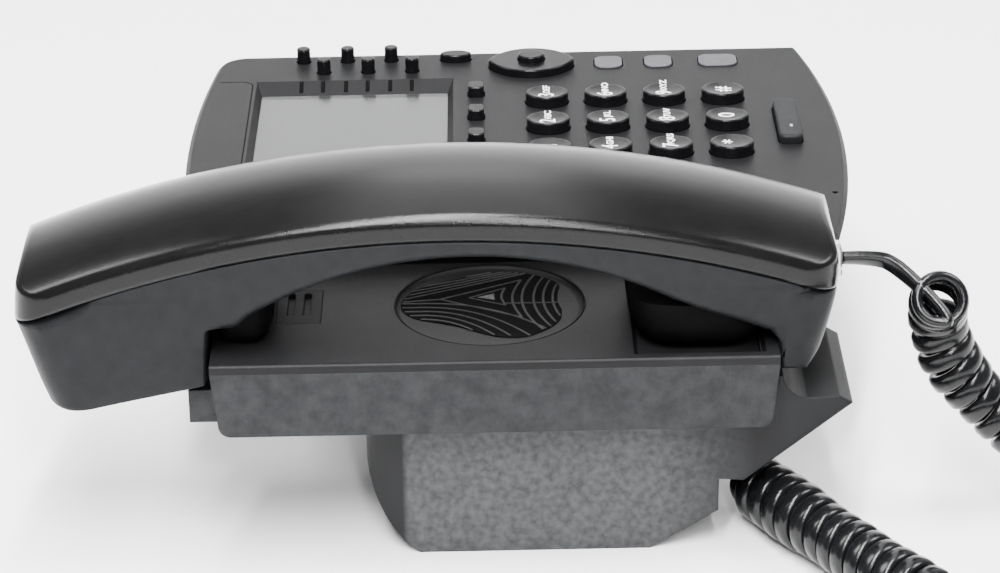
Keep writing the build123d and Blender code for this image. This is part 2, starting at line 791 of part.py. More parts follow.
# ------------------------------------------------------------------ stand
def draw_stand_side(top_z):
    """Side view of the stand: flat foot, short slope, cord slot, long slope, curved rear."""
    long_rise = (slab_z - long_slope[1]) / (long_slope[0] - stand_front_y)
    front_y = stand_front_y - (top_z - slab_z) / long_rise
    with BuildLine() as outline:
        ThreePointArc((stand_rear_y, 30.0), (30.8, 11.5), (foot_rear_y, 0))
        Polyline(
            (foot_rear_y, 0),
            (foot_front_y, 0),
            slope_foot,
            slot_top,
            long_slope,
            (front_y, top_z),
            (stand_rear_y, top_z),
            (stand_rear_y, 30.0),
        )
    make_face(outline.edges())


def make_stand_solid(inset, top_z):
    """The stand as one solid, or its hollow when inset."""
    half_x = stand_half_x - inset
    with BuildPart() as solid:
        with BuildSketch(Plane.YZ.offset(-half_x)):
            draw_stand_side(top_z)
            if inset > 0:
                offset(amount=-inset, kind=Kind.INTERSECTION, mode=Mode.REPLACE)
        extrude(amount=2 * half_x)
        with BuildSketch(Plane.XY):
            draw_rectangle(-half_x, half_x, -120, stand_rear_y - inset)
            fillet(vertices().group_by(Axis.Y)[-1], stand_corner_r)
        extrude(amount=top_z, mode=Mode.INTERSECT)
    return solid.part


stand_outside = make_stand_solid(0, slab_z)
stand_hollow = make_stand_solid(stand_wall, slab_z + 2 * stand_wall)
slot_middle_y = (slope_foot[0] + long_slope[0]) / 2

with BuildPart() as stand:
    add(stand_outside)
    # Lip in front of the block under the handset: a shelf that curves up to the case.
    with BuildSketch(Plane.YZ.offset(-stand_half_x)):
        with BuildLine() as lip_outline:
            Polyline(
                (-74.5, 40.9),
                (-82.4, 41.3),
                (-85.6, 39.4),
                (stand_front_y, slab_z),
                (block_front_y + block_draft - 0.4, slab_z),
                (block_front_y - 0.5, 47.0),
                (-68.6, 47.0),
            )
            ThreePointArc((-68.6, 47.0), (-70.6, 42.7), (-74.5, 40.9))
        make_face(lip_outline.edges())
    extrude(amount=lip_right_x + stand_half_x)
    add(stand_hollow, mode=Mode.SUBTRACT)
    # The cord slot runs between the side panels, along the corner of the two slopes.
    with Locations((0, slot_middle_y, slot_top[1] + 1)):
        Box(
            2 * (stand_half_x - stand_wall),
            abs(slope_foot[0] - long_slope[0]) + cord_slot_spare,
            cord_slot_height,
            mode=Mode.SUBTRACT,
        )
    # Recesses for the rubber feet in the flat foot.
    with BuildSketch(Plane.XY):
        with Locations(*foot_pad_places):
            Rectangle(*foot_pad)
    extrude(amount=pad_thickness, mode=Mode.SUBTRACT)
save(stand.part, "stand")

slope_plane = Plane(
    origin=(0, foot_front_y, 0),
    x_dir=(1, 0, 0),
    z_dir=(0, -slope_foot[1], slope_foot[0] - foot_front_y),
)
with BuildPart() as rubber_feet:
    with BuildSketch(Plane.XY):
        with Locations(*foot_pad_places):
            Rectangle(*foot_pad)
    extrude(amount=pad_thickness)
    with BuildSketch(slope_plane):
        with Locations(*slope_pad_places):
            Rectangle(*slope_pad)
    extrude(amount=pad_thickness)
save(rubber_feet.part, "rubber_feet")


# ------------------------------------------------------------------ cord
def corner_radii(points):
    """The largest radius that the two runs at each corner of a route allow."""
    radii = []
    for before, corner, after in zip(points, points[1:], points[2:]):
        run_in = Vector(*corner) - Vector(*before)
        run_out = Vector(*after) - Vector(*corner)
        turn = radians(run_in.get_angle(run_out))
        radii.append(0.45 * min(run_in.length, run_out.length) / tan(turn / 2))
    return radii


def make_tube(points, diameter, name):
    """Round tube along a route of straight runs joined by arcs."""
    radii = corner_radii(points)
    with BuildPart() as tube:
        with BuildLine() as path:
            FilletPolyline(*points, radius=radii)
        with BuildSketch(Plane(origin=path.line @ 0, z_dir=path.line % 0)):
            Circle(diameter / 2)
        sweep(path=path.line)
    length = sum(edge.length for edge in path.edges())
    expected = pi * diameter**2 / 4 * length
    print(name, "radii", [round(r, 1) for r in radii])
    print(name, "length", round(length, 1), "volume", round(tube.part.volume / expected, 4))
    save(tube.part, name)


make_tube(base_lead_route, wire_d, "cord_lead_base")
make_tube(coil_route, coil_d, "cord_coil")
make_tube(handset_lead_route, wire_d, "cord_lead_handset")
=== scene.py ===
"""Looks of the desk telephone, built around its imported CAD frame. Lengths are in metres."""

import math

import bmesh
import bpy
import numpy as np
from mathutils import Matrix, Vector
from mathutils.geometry import tessellate_polygon


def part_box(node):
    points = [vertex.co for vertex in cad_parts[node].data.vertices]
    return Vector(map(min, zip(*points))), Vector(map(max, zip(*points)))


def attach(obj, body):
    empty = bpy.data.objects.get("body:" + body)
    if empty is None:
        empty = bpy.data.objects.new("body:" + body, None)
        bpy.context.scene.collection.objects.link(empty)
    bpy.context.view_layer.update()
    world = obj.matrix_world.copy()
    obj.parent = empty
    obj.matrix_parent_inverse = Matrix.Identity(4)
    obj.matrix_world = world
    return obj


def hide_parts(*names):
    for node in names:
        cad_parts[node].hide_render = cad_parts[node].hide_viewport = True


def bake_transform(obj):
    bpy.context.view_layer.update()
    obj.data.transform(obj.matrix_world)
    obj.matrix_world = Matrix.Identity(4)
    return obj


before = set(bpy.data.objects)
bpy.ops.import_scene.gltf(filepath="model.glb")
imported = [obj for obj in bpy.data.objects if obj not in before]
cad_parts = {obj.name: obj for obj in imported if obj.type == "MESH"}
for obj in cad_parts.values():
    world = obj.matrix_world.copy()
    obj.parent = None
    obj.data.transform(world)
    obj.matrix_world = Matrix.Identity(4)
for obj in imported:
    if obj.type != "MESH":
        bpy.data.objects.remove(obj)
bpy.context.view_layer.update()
MM = 0.001

# ------------------------------------------------------------------ places taken from the frame
upper_low, upper_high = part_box("handset_upper_shell")
face_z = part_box("top_case")[1].z
handset_x = (upper_low.x + upper_high.x) / 2
handset_half = (upper_high.x - upper_low.x) / 2

# ------------------------------------------------------------------ camera
CAMERA_ELEVATION = math.radians(25)
CAMERA_ROLL = math.radians(1.15)
CAMERA_DISTANCE = 0.865
CAMERA_LENS = 126
CAMERA_AIM = Vector((-0.0642, 0, 0.0623))


def make_camera():
    """The photograph's view: from the handset side, a little above."""
    forward = Vector((math.cos(CAMERA_ELEVATION), 0, -math.sin(CAMERA_ELEVATION)))
    level_right = Vector((0, -1, 0))
    level_up = level_right.cross(forward)
    right = level_right * math.cos(CAMERA_ROLL) - level_up * math.sin(CAMERA_ROLL)
    up = level_right * math.sin(CAMERA_ROLL) + level_up * math.cos(CAMERA_ROLL)
    place = CAMERA_AIM - forward * CAMERA_DISTANCE
    data = bpy.data.cameras.new("camera")
    data.lens = CAMERA_LENS
    data.sensor_width = 36
    camera = bpy.data.objects.new("camera", data)
    columns = Matrix((right, up, -forward)).transposed().to_4x4()
    camera.matrix_world = Matrix.Translation(place) @ columns
    bpy.context.scene.collection.objects.link(camera)
    bpy.context.scene.camera = camera


# ------------------------------------------------------------------ node helpers
def new_material(name):
    """A node material with its principled shader."""
    material = bpy.data.materials.new(name)
    material.use_nodes = True
    return material, material.node_tree, material.node_tree.nodes["Principled BSDF"]


def add_noise(tree, scale, detail=2.0, roughness=0.5):
    """Noise over the object's own coordinates, so it stays on the piece."""
    place = tree.nodes.new("ShaderNodeTexCoord")
    noise = tree.nodes.new("ShaderNodeTexNoise")
    noise.inputs["Scale"].default_value = scale
    noise.inputs["Detail"].default_value = detail
    noise.inputs["Roughness"].default_value = roughness
    tree.links.new(place.outputs["Object"], noise.inputs["Vector"])
    return noise.outputs["Fac"]


def add_range(tree, value, low, high, from_low=0.3, from_high=0.7):
    """Spread a 0 to 1 value over another range."""
    node = tree.nodes.new("ShaderNodeMapRange")
    node.inputs["From Min"].default_value = from_low
    node.inputs["From Max"].default_value = from_high
    node.inputs["To Min"].default_value = low
    node.inputs["To Max"].default_value = high
    tree.links.new(value, node.inputs["Value"])
    return node.outputs["Result"]


def add_mix(tree, factor, color_a, color_b):
    """Mix two colours by a factor."""
    node = tree.nodes.new("ShaderNodeMix")
    node.data_type = "RGBA"
    node.inputs["A"].default_value = (*color_a, 1)
    node.inputs["B"].default_value = (*color_b, 1)
    tree.links.new(factor, node.inputs["Factor"])
    return node.outputs["Result"]


def add_product(tree, first, second):
    """Two values multiplied."""
    node = tree.nodes.new("ShaderNodeMath")
    node.operation = "MULTIPLY"
    tree.links.new(first, node.inputs[0])
    tree.links.new(second, node.inputs[1])
    return node.outputs["Value"]


def add_axes(tree, vector):
    """The three parts of a vector, as sockets named X, Y and Z."""
    node = tree.nodes.new("ShaderNodeSeparateXYZ")
    tree.links.new(vector, node.inputs["Vector"])
    return node.outputs


def add_bump(tree, shader, height, strength, distance, edge=0.45 * MM):
    """Small relief from a height value, over edges that are slightly rounded."""
    rounded = tree.nodes.new("ShaderNodeBevel")
    rounded.samples = 4
    rounded.inputs["Radius"].default_value = edge
    node = tree.nodes.new("ShaderNodeBump")
    tree.links.new(rounded.outputs["Normal"], node.inputs["Normal"])
    node.inputs["Strength"].default_value = strength
    node.inputs["Distance"].default_value = distance
    tree.links.new(height, node.inputs["Height"])
    tree.links.new(node.outputs["Normal"], shader.inputs["Normal"])


def moulded_plastic(name, dark, light, grain, relief, rough, mottle, shine):
    """Moulded plastic: broad mottling, a fine grain in relief, and uneven gloss."""
    material, tree, shader = new_material(name)
    broad = add_range(tree, add_noise(tree, mottle, 4.0, 0.6), 0, 1)
    tree.links.new(add_mix(tree, broad, dark, light), shader.inputs["Base Color"])
    fine = add_noise(tree, grain, 3.0, 0.6)
    gloss = add_range(tree, fine, rough - 0.06, rough + 0.08)
    tree.links.new(gloss, shader.inputs["Roughness"])
    add_bump(tree, shader, fine, relief, 0.2 * MM)
    shader.inputs["Specular IOR Level"].default_value = shine
    return material


def clear_plastic(name, tint, rough, bend=1.5):
    """Clear moulded plastic with faint flow marks."""
    material, tree, shader = new_material(name)
    shader.inputs["Transmission Weight"].default_value = 0.98
    shader.inputs["IOR"].default_value = bend
    marks = add_noise(tree, 700.0)
    deeper = tuple(0.9 * c for c in tint)
    tree.links.new(add_mix(tree, marks, tint, deeper), shader.inputs["Base Color"])
    tree.links.new(add_range(tree, marks, rough, rough + 0.1), shader.inputs["Roughness"])
    return material


def printed_ink(name, color):
    """Screen printed ink, slightly worn."""
    material, tree, shader = new_material(name)
    wear = add_range(tree, add_noise(tree, 2500.0), 0, 1)
    worn = tuple(0.8 * c for c in color)
    tree.links.new(add_mix(tree, wear, color, worn), shader.inputs["Base Color"])
    shader.inputs["Roughness"].default_value = 0.5
    return material


# The stand's coarse texture and its painted bounce light: how squarely a face looks sideways before it has
# them, and where along Y they fade in behind the cord slot.
FLAT_SIDE = (0.97, 0.995)
TEXTURE_FADE = (-62 * MM, -38 * MM)


def side_texture_and_painted_light(name, dark, light, rough):
    """Coarse moulded texture on the flat sides, and a smooth finish on the curved ends; the flat sides also
    take the lighter colour as painted light for the floor's bounce on them, with the colour following the
    pebbles, lighter where they rise.
    """
    material, tree, shader = new_material(name)
    geometry = tree.nodes.new("ShaderNodeNewGeometry")
    sideways = tree.nodes.new("ShaderNodeMath")
    sideways.operation = "ABSOLUTE"
    tree.links.new(add_axes(tree, geometry.outputs["Normal"])["X"], sideways.inputs[0])
    flat = add_range(tree, sideways.outputs["Value"], 0, 1, *FLAT_SIDE)
    place = tree.nodes.new("ShaderNodeTexCoord")
    along = add_axes(tree, place.outputs["Object"])["Y"]
    texture_and_painted_light = add_product(tree, add_range(tree, along, 0, 1, *TEXTURE_FADE), flat)
    pebbles = add_noise(tree, 560.0, 3.0, 0.5)
    fine = add_noise(tree, 3200.0, 2.0, 0.6)
    height = tree.nodes.new("ShaderNodeMath")
    height.operation = "MULTIPLY_ADD"
    height.inputs[1].default_value = 0.12
    tree.links.new(fine, height.inputs[0])
    tree.links.new(add_product(tree, pebbles, texture_and_painted_light), height.inputs[2])
    # The flat sides take the lighter colour as painted light for the floor's bounce on them; within it the
    # colour follows the pebbles, lighter where they rise.
    pebbles_and_painted_light = add_product(tree, add_range(tree, pebbles, 0.4, 1), texture_and_painted_light)
    tree.links.new(add_mix(tree, pebbles_and_painted_light, dark, light), shader.inputs["Base Color"])
    tree.links.new(add_range(tree, fine, rough - 0.08, rough + 0.08), shader.inputs["Roughness"])
    shader.inputs["Specular IOR Level"].default_value = 0.1
    add_bump(tree, shader, height.outputs["Value"], 0.8, 0.35 * MM, 0.9 * MM)
    return material


# Moulded plastics: dark and light colour, grain, relief, roughness, mottling and shine.
PLASTICS = {
    "face": ((0.0048, 0.0048, 0.0052), (0.0072, 0.0072, 0.0078), 3800, 0.14, 0.42, 90, 0.09),
    "case": ((0.0105, 0.011, 0.0118), (0.0215, 0.0222, 0.0235), 2400, 0.35, 0.5, 260, 0.09),
    "handset_top": ((0.0032, 0.0032, 0.0032), (0.0046, 0.0046, 0.0046), 2600, 0.18, 0.13, 120, 0.15),
    "handset_bottom": ((0.005, 0.0054, 0.006), (0.008, 0.0085, 0.0095), 2600, 0.4, 0.44, 300, 0.1),
    "key": ((0.0025, 0.0025, 0.003), (0.004, 0.004, 0.0045), 2500, 0.03, 0.22, 300, 0.12),
    "flush": ((0.02, 0.019, 0.025), (0.028, 0.0265, 0.034), 2500, 0.05, 0.35, 300, 0.5),
    "cord": ((0.0028, 0.003, 0.0034), (0.0045, 0.0047, 0.0052), 900, 0.08, 0.2, 150, 0.27),
    "dark": ((0.001, 0.001, 0.001), (0.002, 0.002, 0.002), 1500, 0.1, 0.7, 300, 0.04),
    "rib": ((0.022, 0.022, 0.022), (0.032, 0.032, 0.032), 2500, 0.1, 0.4, 300, 0.3),
    "rubber": ((0.006, 0.006, 0.006), (0.01, 0.01, 0.01), 1800, 0.3, 0.75, 500, 0.5),
    "board": ((0.01, 0.08, 0.03), (0.015, 0.12, 0.045), 900, 0.1, 0.35, 250, 0.5),
    "membrane": ((0.2, 0.2, 0.21), (0.26, 0.26, 0.27), 1500, 0.1, 0.7, 200, 0.5),
    "lcd": ((0.026, 0.0268, 0.028), (0.029, 0.03, 0.031), 3000, 0.02, 0.5, 60, 0.05),
    "steel": ((0.5, 0.5, 0.51), (0.6, 0.6, 0.61), 1500, 0.1, 0.35, 400, 0.5),
    "floor": ((0.9, 0.9, 0.9), (0.91, 0.91, 0.91), 60, 0.02, 0.5, 8, 0.5),
}


def make_materials():
    """Every material of the telephone, by name."""
    made = {name: moulded_plastic(name, *look) for name, look in PLASTICS.items()}
    made["steel"].node_tree.nodes["Principled BSDF"].inputs["Metallic"].default_value = 1.0
    # The lighter colour here is painted light: the floor's bounce on the stand's flat sides.
    made["stand"] = side_texture_and_painted_light("stand", (0.009, 0.0092, 0.0098), (0.052, 0.0535, 0.0555), 0.44)
    made["clear"] = clear_plastic("clear", (0.85, 0.87, 0.9), 0.08)
    made["window"] = clear_plastic("window", (0.9, 0.91, 0.91), 0.04, 1.25)
    made["ink"] = printed_ink("ink", (0.75, 0.75, 0.76))
    made["grey_ink"] = printed_ink("grey_ink", (0.3, 0.3, 0.31))
    return made


NODE_MATERIALS = {
    "top_case": "face",
    "bottom_case": "case",
    "stand": "stand",
    "hook_tab": "case",
    "handset_upper_shell": "handset_top",
    "handset_lower_shell": "handset_bottom",
    "display_window": "window",
    "lcd_panel": "lcd",
    "keypad_board": "board",
    "main_board": "board",
    "key_membrane": "membrane",
    "handset_plug": "clear",
    "base_plug": "clear",
    "case_screws": "steel",
    "handset_microphone": "steel",
    "rubber_feet": "rubber",
    "headset_key": "flush",
    "speaker_key": "flush",
    "mute_key": "flush",
    "volume_rocker": "handset_bottom",
}
DARK_NODES = ("speaker_driver", "earpiece_receiver", "handset_jack", "base_handset_jack", "network_jacks")


def dress_nodes(materials):
    """Give every CAD node its material."""
    for name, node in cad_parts.items():
        key = NODE_MATERIALS.get(name, "dark" if name in DARK_NODES else "key")
        if node.data.materials:
            node.data.materials[0] = materials[key]
        else:
            node.data.materials.append(materials[key])


# ------------------------------------------------------------------ cord
WIRE_WIDE = 4.9 * MM
WIRE_THICK = 2.9 * MM
# The coil's outside width at the base's end and at the handset's end.
COIL_D = (16.6 * MM, 14.6 * MM)
COIL_PITCH = 5.5 * MM
TURN_POINTS = 30
# The coil opens from this share of its width over its first turns.
COIL_START = 0.4
OPENING_TURNS = 1.3
# The coil's axis, from the cord slot along the desk, round, and up to the handset.
coil_points = (
    (-67.5, -61.0, 9.4),
    (-85.0, -72.0, 8.6),
    (-105.0, -84.5, 8.6),
    (-128.0, -98.0, 8.6),
    (-148.0, -116.0, 8.6),
    (-156.0, -140.0, 8.6),
    (-148.0, -164.0, 8.6),
    (-127.0, -177.0, 8.6),
    (-103.0, -176.0, 8.6),
    (-84.0, -163.0, 8.6),
    (-72.0, -146.0, 11.0),
    (-67.0, -132.5, 17.5),
    (-65.5, -121.0, 28.0),
    (-65.0, -112.0, 39.5),
    (-65.0, -108.5, 49.5),
    (-67.0, -108.0, 57.5),
    (-74.0, -107.8, 61.0),
)
base_lead_points = (
    (-68.0, -39.0, 30.0),
    (-68.0, -47.0, 30.0),
    (-68.0, -54.5, 24.5),
    (-68.4, -57.5, 16.0),
)
handset_lead_points = (
    (-66.0, -97.5, 67.4),
    (-65.2, -91.0, 68.7),
    (-65.2, -84.3, 68.7),
)


def smooth_line(points, resolution):
    """Points along the NURBS spline that has these control points, given in millimetres."""
    data = bpy.data.curves.new("route", "CURVE")
    data.dimensions = "3D"
    data.resolution_u = resolution
    spline = data.splines.new("NURBS")
    spline.points.add(len(points) - 1)
    for target, point in zip(spline.points, points):
        target.co = (*(value * MM for value in point), 1)
    spline.order_u = 3
    spline.use_endpoint_u = True
    route = bpy.data.objects.new("route", data)
    mesh = bpy.data.meshes.new_from_object(route)
    line = [vertex.co.copy() for vertex in mesh.vertices]
    bpy.data.objects.remove(route)
    bpy.data.curves.remove(data)
    bpy.data.meshes.remove(mesh)
    return line


def walk_line(line, spacing):
    """The same line with evenly spaced points."""
    lengths = [0.0]
    for a, b in zip(line, line[1:]):
        lengths.append(lengths[-1] + (b - a).length)
    count = max(2, round(lengths[-1] / spacing))
    stops = np.linspace(0, lengths[-1], count + 1)
    columns = [np.interp(stops, lengths, [p[k] for p in line]) for k in range(3)]
    return [Vector(p) for p in zip(*columns)]


def direction_at(line, index):
    """The direction of a line at one of its points."""
    return (line[min(index + 1, len(line) - 1)] - line[max(index - 1, 0)]).normalized()


def carried_frames(line):
    """A direction and a side vector at each point, the side carried along without twist."""
    frames = []
    side = None
    for index in range(len(line)):
        direction = direction_at(line, index)
        if side is None:
            side = direction.orthogonal().normalized()
        side = (side - direction * side.dot(direction)).normalized()
        frames.append((direction, side))
    return frames


def coil_line():
    """The helix round the coil's axis: points, and the direction of the axis at each."""
    axis = walk_line(smooth_line(coil_points, 24), COIL_PITCH / TURN_POINTS)
    frames = carried_frames(axis)
    last = len(axis) - 1
    # The last turn ends on its far, upper side, where the wire leaves towards the handset.
    direction, side = frames[-1]
    leave = Vector((0, -1, 0)).cross(direction).normalized()
    end_turn = math.atan2(leave.dot(direction.cross(side)), leave.dot(side))
    start_turn = end_turn - 2 * math.pi * last / TURN_POINTS
    helix = []
    wides = []
    for index, (centre, (direction, side)) in enumerate(zip(axis, frames)):
        width = COIL_D[0] + (COIL_D[1] - COIL_D[0]) * (index / last) - WIRE_THICK
        opening = min(1.0, COIL_START + (1 - COIL_START) * index / (OPENING_TURNS * TURN_POINTS))
        # Two slow waves keep the turns from being all alike.
        wobble = 0.35 * MM * math.sin(index * 0.021) + 0.2 * MM * math.sin(index * 0.0537 + 1)
        radius = (width / 2 + wobble) * opening
        turn = start_turn + 2 * math.pi * index / TURN_POINTS
        other = direction.cross(side)
        helix.append(centre + (side * math.cos(turn) + other * math.sin(turn)) * radius)
        wides.append(direction)
    return helix, wides


def ring_faces(rings, around):
    """The faces between rings of points, each ring closed on itself."""
    faces = []
    for start in range(0, (rings - 1) * around, around):
        for k in range(around):
            nxt = (k + 1) % around
            faces.append((start + k, start + nxt, start + around + nxt, start + around + k))
    return faces


def end_faces(rings, around):
    """The two faces that close the first ring and the last."""
    last = (rings - 1) * around
    return [tuple(reversed(range(around))), tuple(last + k for k in range(around))]


def bulge(value, power):
    """A sine or cosine made squarer by a power below 1."""
    return math.copysign(abs(value) ** power, value)


def flat_tube(name, line, wides, half_wide, half_thick, sides=16):
    """A flat, rounded cord along a line; wides points along its wide side at each point."""
    verts = []
    for index, point in enumerate(line):
        direction = direction_at(line, index)
        wide = (wides[index] - direction * wides[index].dot(direction)).normalized()
        thin = direction.cross(wide)
        for k in range(sides):
            cos_a, sin_a = math.cos(2 * math.pi * k / sides), math.sin(2 * math.pi * k / sides)
            # A shallow groove runs along the middle of both wide sides.
            groove = 1 - 0.06 * (abs(cos_a) < 0.2)
            across = bulge(cos_a, 0.8) * half_wide
            through = bulge(sin_a, 0.8) * half_thick * groove
            verts.append(point + wide * across + thin * through)
    return mesh_piece(name, verts, ring_faces(len(line), sides) + end_faces(len(line), sides))


def tube_mesh(name, line, half_wide, half_thick, sides=8):
    """A thin rib along a line of points."""
    verts = []
    for index, point in enumerate(line):
        direction = direction_at(line, index)
        up = Vector((0, 0, 1))
        up = (up - direction * up.dot(direction)).normalized()
        level = direction.cross(up)
        for k in range(sides):
            angle = 2 * math.pi * k / sides
            verts.append(point + level * math.cos(angle) * half_wide + up * math.sin(angle) * half_thick)
    return mesh_piece(name, verts, ring_faces(len(line), sides) + end_faces(len(line), sides))


def mesh_piece(name, verts, faces, smooth=True):
    """A mesh object from vertices and faces, in the row frame."""
    mesh = bpy.data.meshes.new(name)
    mesh.from_pydata([tuple(v) for v in verts], [], faces)
    mesh.validate()
    mesh.update()
    piece = bpy.data.objects.new(name, mesh)
    bpy.context.scene.collection.objects.link(piece)
    if smooth:
        mesh.shade_smooth()
    return piece


def blend_wides(count, first, last):
    """Directions that turn evenly from one to another."""
    return [first.lerp(last, index / max(count - 1, 1)) for index in range(count)]


def in_mm(point):
    """A place in millimetres, as the routes give them."""
    return tuple(c / MM for c in point)


def make_cord(materials):
    """The handset cord: lead, curly coil and lead, one length of flat wire."""
    helix, helix_wides = coil_line()
    lead_in = helix[0] + (helix[0] - helix[4]).normalized() * 3 * MM
    base_lead = smooth_line(base_lead_points + (in_mm(lead_in), in_mm(helix[0])), 16)
    tail = (helix[-1] - helix[-4]).normalized()
    tail_run = tuple(in_mm(helix[-1] + tail * reach * MM) for reach in (0, 4.5))
    handset_lead = smooth_line(tail_run + handset_lead_points, 16)
    line = base_lead[:-1] + helix + handset_lead[1:]
    # The wide side of the wire, from the base's plug to the handset's.
    at_base = Vector((1, 0, 0))
    upright = Vector((-0.3, 0, 0.95))
    at_handset = Vector((-0.75, 0, 0.65))
    half_lead = (len(handset_lead) - 1) // 2
    wides = blend_wides(len(base_lead) - 1, at_base, helix_wides[0]) + helix_wides
    wides += blend_wides(half_lead, helix_wides[-1], upright)
    wides += blend_wides(len(handset_lead) - 1 - half_lead, upright, at_handset)
    cord = flat_tube("handset_cord", line, wides, WIRE_WIDE / 2, WIRE_THICK / 2)
    cord.data.materials.append(materials["cord"])
    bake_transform(cord)
    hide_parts("cord_coil", "cord_lead_base", "cord_lead_handset")


# ------------------------------------------------------------------ handset
# The handset bends round an axis across it, below the desk; radii are measured from it.
AXIS_Y = 12.5 * MM
AXIS_Z = -190.0 * MM
CROWN_R = 287.0 * MM
SHOULDER_R = 281.5 * MM
SEAM_R = 275.8 * MM
SHELL_LOW_R = SEAM_R + 0.15 * MM
SHOULDER_FILLET = 3.6 * MM
END_CORNER = 9.0 * MM
# Side view of both ends above the seam: distance along Y at each height.
ear_end = (
    (62.0, 117.9),
    (66.0, 117.8),
    (70.0, 117.5),
    (74.0, 117.0),
    (78.0, 116.0),
    (81.0, 114.6),
    (84.0, 111.8),
    (86.5, 107.4),
    (89.0, 100.4),
)
mouth_end = (
    (66.0, -81.2),
    (69.3, -81.7),
    (72.7, -82.0),
    (77.0, -81.8),
    (80.5, -80.6),
    (83.5, -78.2),
    (86.5, -73.5),
    (89.0, -68.0),
)


def end_retreat(x):
    """How far an end steps back towards its rounded corners."""
    past = max(0.0, abs(x) - (handset_half - END_CORNER))
    return END_CORNER - math.sqrt(max(0.0, END_CORNER**2 - past**2))


def end_y(profile, z, x, inward):
    """Y of an end of the handset at a height and a place across it."""
    heights = [p[0] * MM for p in profile]
    places = [p[1] * MM for p in profile]
    return float(np.interp(z, heights, places)) + inward * end_retreat(x)


def crown_section(crown_steps=40, shoulder_steps=10):
    """Half turn of the upper shell: side wall, rounded shoulder, crown and down again."""
    half = handset_half
    rise = CROWN_R - SHOULDER_R
    crown_arc = (half**2 + rise**2) / (2 * rise)
    points = [(-half, SHELL_LOW_R), (-half, SEAM_R + 1.2 * MM)]
    shoulder_x = -half + SHOULDER_FILLET
    centre_r = CROWN_R - crown_arc + math.sqrt((crown_arc - SHOULDER_FILLET) ** 2 - shoulder_x**2)
    tilt = math.asin(shoulder_x / (crown_arc - SHOULDER_FILLET))
    for step in range(shoulder_steps + 1):
        angle = math.pi / 2 + (-tilt - math.pi / 2) * step / shoulder_steps
        across = SHOULDER_FILLET * math.sin(angle)
        points.append((shoulder_x - across, centre_r + SHOULDER_FILLET * math.cos(angle)))
    first_side = [(-x, radius) for x, radius in reversed(points)]
    edge_x = points[-1][0]
    for step in range(1, crown_steps):
        x = edge_x - 2 * edge_x * step / crown_steps
        points.append((x, CROWN_R - crown_arc + math.sqrt(crown_arc**2 - x**2)))
    return points + first_side


def place_round(x, radius, part):
    """A point of the upper shell: part runs from the mouth end, 0, to the ear end, 1."""

    def angle_at(profile, inward):
        angle = 0.3 * -inward
        for _ in range(6):
            z = AXIS_Z + radius * math.cos(angle)
            y = end_y(profile, z, x, inward)
            angle = math.asin((y - AXIS_Y) / radius)
        return angle

    low = angle_at(mouth_end, 1)
    high = angle_at(ear_end, -1)
    angle = low + (high - low) * part
    return Vector((handset_x + x, AXIS_Y + radius * math.sin(angle), AXIS_Z + radius * math.cos(angle)))


def make_upper_shell(materials):
    """Crowned upper shell: skin, underside and two rounded ends, all on one grid."""
    section = crown_section()
    last = len(section) - 1
    # Places along the handset, closer together near its ends.
    steps = 90
    crowding = 0.35
    parts = []
    for k in range(steps + 1):
        crowded = 0.5 - 0.5 * math.cos(math.pi * k / steps)
        parts.append(crowding * crowded + (1 - crowding) * k / steps)
    cap_rows = 8
    verts = []
    faces = []

    def add_grid(columns, lines, point):
        start = len(verts)
        for a in range(columns):
            for b in range(lines):
                verts.append(point(a, b))
        for a in range(columns - 1):
            for b in range(lines - 1):
                corner = start + a * lines + b
                faces.append((corner, corner + 1, corner + lines + 1, corner + lines))

    def base_point(k):
        return (-handset_half + 2 * handset_half * k / last, SHELL_LOW_R)

    def cap_point(k, row, part):
        low_x, low_r = base_point(k)
        high_x, high_r = section[k]
        share = row / cap_rows
        return place_round(low_x + (high_x - low_x) * share, low_r + (high_r - low_r) * share, part)

    add_grid(last + 1, len(parts), lambda k, b: place_round(*section[k], parts[b]))
    add_grid(last + 1, len(parts), lambda k, b: place_round(*base_point(k), parts[b]))
    add_grid(last + 1, cap_rows + 1, lambda k, row: cap_point(k, row, 0))
    add_grid(last + 1, cap_rows + 1, lambda k, row: cap_point(k, row, 1))
    shell = close_mesh(mesh_piece("handset_crown", verts, faces))
    shell.data.materials.append(materials["handset_top"])
    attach(shell, "handset")
    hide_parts("handset_upper_shell")


def close_mesh(piece, join=0.02 * MM):
    """Join the points of a piece that lie within join, and turn every face outwards."""
    work = bmesh.new()
    work.from_mesh(piece.data)
    if join:
        bmesh.ops.remove_doubles(work, verts=work.verts, dist=join)
    bmesh.ops.recalc_face_normals(work, faces=work.faces)
    work.to_mesh(piece.data)
    work.free()
    piece.data.shade_smooth()
    return piece


def arc_points(first, middle, last, count):
    """Points of the circle through three points of the side view."""
    ax, ay = first
    bx, by = middle
    cx, cy = last
    det = 2 * (ax * (by - cy) + bx * (cy - ay) + cx * (ay - by))
    aa, bb, cc = ax**2 + ay**2, bx**2 + by**2, cx**2 + cy**2
    ux = (aa * (by - cy) + bb * (cy - ay) + cc * (ay - by)) / det
    uy = (aa * (cx - bx) + bb * (ax - cx) + cc * (bx - ax)) / det
    radius = math.hypot(ax - ux, ay - uy)
    start = math.atan2(ay - uy, ax - ux)
    end = math.atan2(cy - uy, cx - ux)
    angles = [start + (end - start) * k / count for k in range(count + 1)]
    return [(ux + radius * math.cos(angle), uy + radius * math.sin(angle)) for angle in angles]


def round_corners(points, rounds):
    """A side view with its corners rounded; rounds gives (index, radius)."""
    result = []
    for index, point in enumerate(points):
        radius = rounds.get(index, 0)
        if not radius:
            result.append(point)
            continue
        here = Vector(point)
        before = Vector(points[index - 1]) - here
        after = Vector(points[(index + 1) % len(points)]) - here
        reach = min(radius, before.length * 0.45, after.length * 0.45)
        a = here + before.normalized() * reach
        c = here + after.normalized() * reach
        for t in (step / 6 for step in range(7)):
            result.append(tuple(a * (1 - t) ** 2 + here * 2 * t * (1 - t) + c * t**2))
    return result


